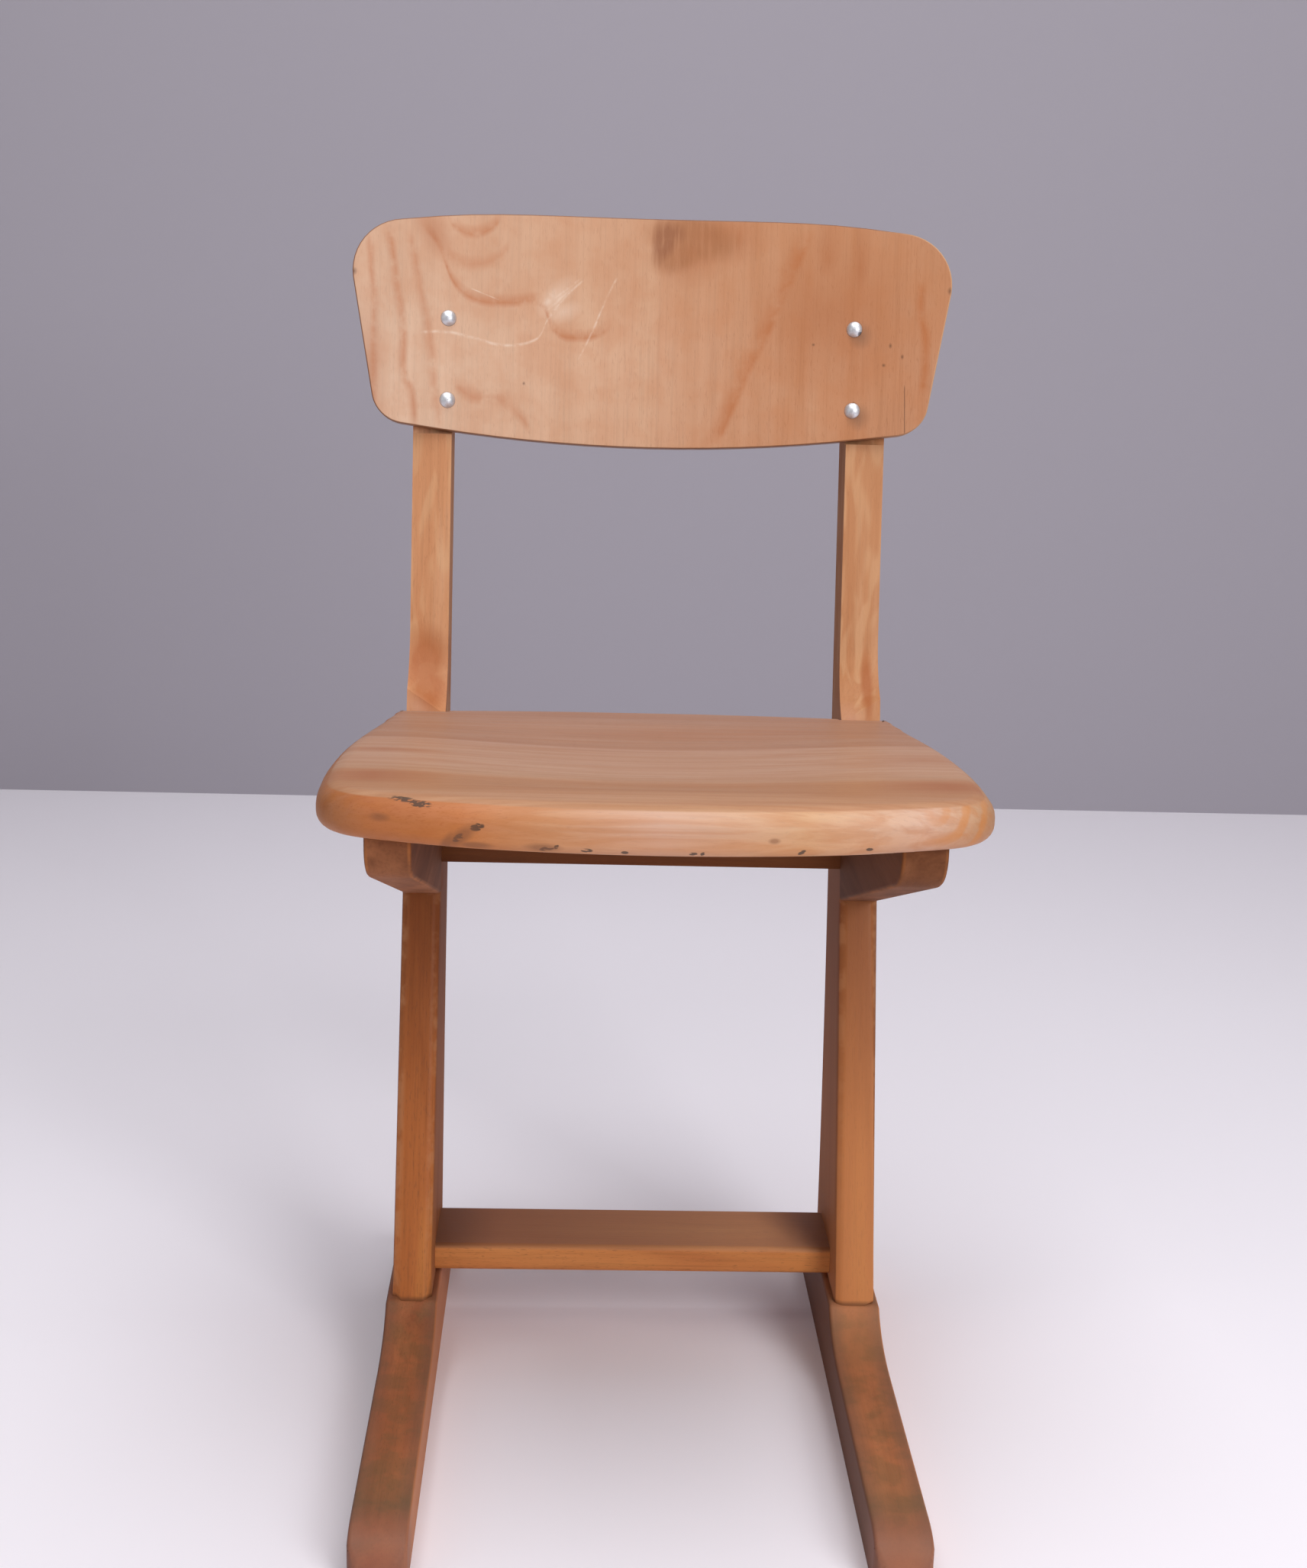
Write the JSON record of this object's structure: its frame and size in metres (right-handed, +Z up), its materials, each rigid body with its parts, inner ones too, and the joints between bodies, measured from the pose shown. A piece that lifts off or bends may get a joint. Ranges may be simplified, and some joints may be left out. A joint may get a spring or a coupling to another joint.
{
  "type": "wooden school chair",
  "caption": "Wooden chair with a dished seat, a bent plywood backrest riveted to leaning legs, runner feet and a footrest board.",
  "frame": {"origin": "on the floor, in the middle of the rectangle that the chair covers", "axes": "+Z up, +Y to the back of the chair, +X to the right as seen from the front"},
  "size_m": [0.4, 0.4668, 0.7514],
  "materials": {
    "beech_sanded": "sanded bare beech with a thin worn clear varnish, scratches and stains",
    "beech_varnished": "old amber varnish, satin, worn pale on the arrises",
    "beech_dark": "old red-brown varnish, dull",
    "beech_worn": "scuffed varnish with grime rubbed into the grain",
    "dowel_beech": "bare beech",
    "rivet_metal": "bright aluminium, lightly scratched"
  },
  "bodies": {
    "root": {"seat": "beech_sanded", "backrest": "beech_sanded", "left_leg": "beech_varnished", "right_leg": "beech_varnished", "left_bearer": "beech_dark", "right_bearer": "beech_dark", "left_foot": "beech_worn", "right_foot": "beech_worn", "footrest": "beech_worn", "seat_rail": "beech_dark", "left_upper_rivet": "rivet_metal", "left_upper_washer": "rivet_metal", "left_upper_bearer_dowel": "dowel_beech", "left_upper_rail_dowel": "dowel_beech", "left_lower_rivet": "rivet_metal", "left_lower_washer": "rivet_metal", "left_lower_bearer_dowel": "dowel_beech", "left_lower_rail_dowel": "dowel_beech", "left_front_seat_dowel": "dowel_beech", "left_front_footrest_dowel": "dowel_beech", "left_rear_seat_dowel": "dowel_beech", "left_rear_footrest_dowel": "dowel_beech", "right_upper_rivet": "rivet_metal", "right_upper_washer": "rivet_metal", "right_upper_bearer_dowel": "dowel_beech", "right_upper_rail_dowel": "dowel_beech", "right_lower_rivet": "rivet_metal", "right_lower_washer": "rivet_metal", "right_lower_bearer_dowel": "dowel_beech", "right_lower_rail_dowel": "dowel_beech", "right_front_seat_dowel": "dowel_beech", "right_front_footrest_dowel": "dowel_beech", "right_rear_seat_dowel": "dowel_beech", "right_rear_footrest_dowel": "dowel_beech"}
  },
  "joints": []
}
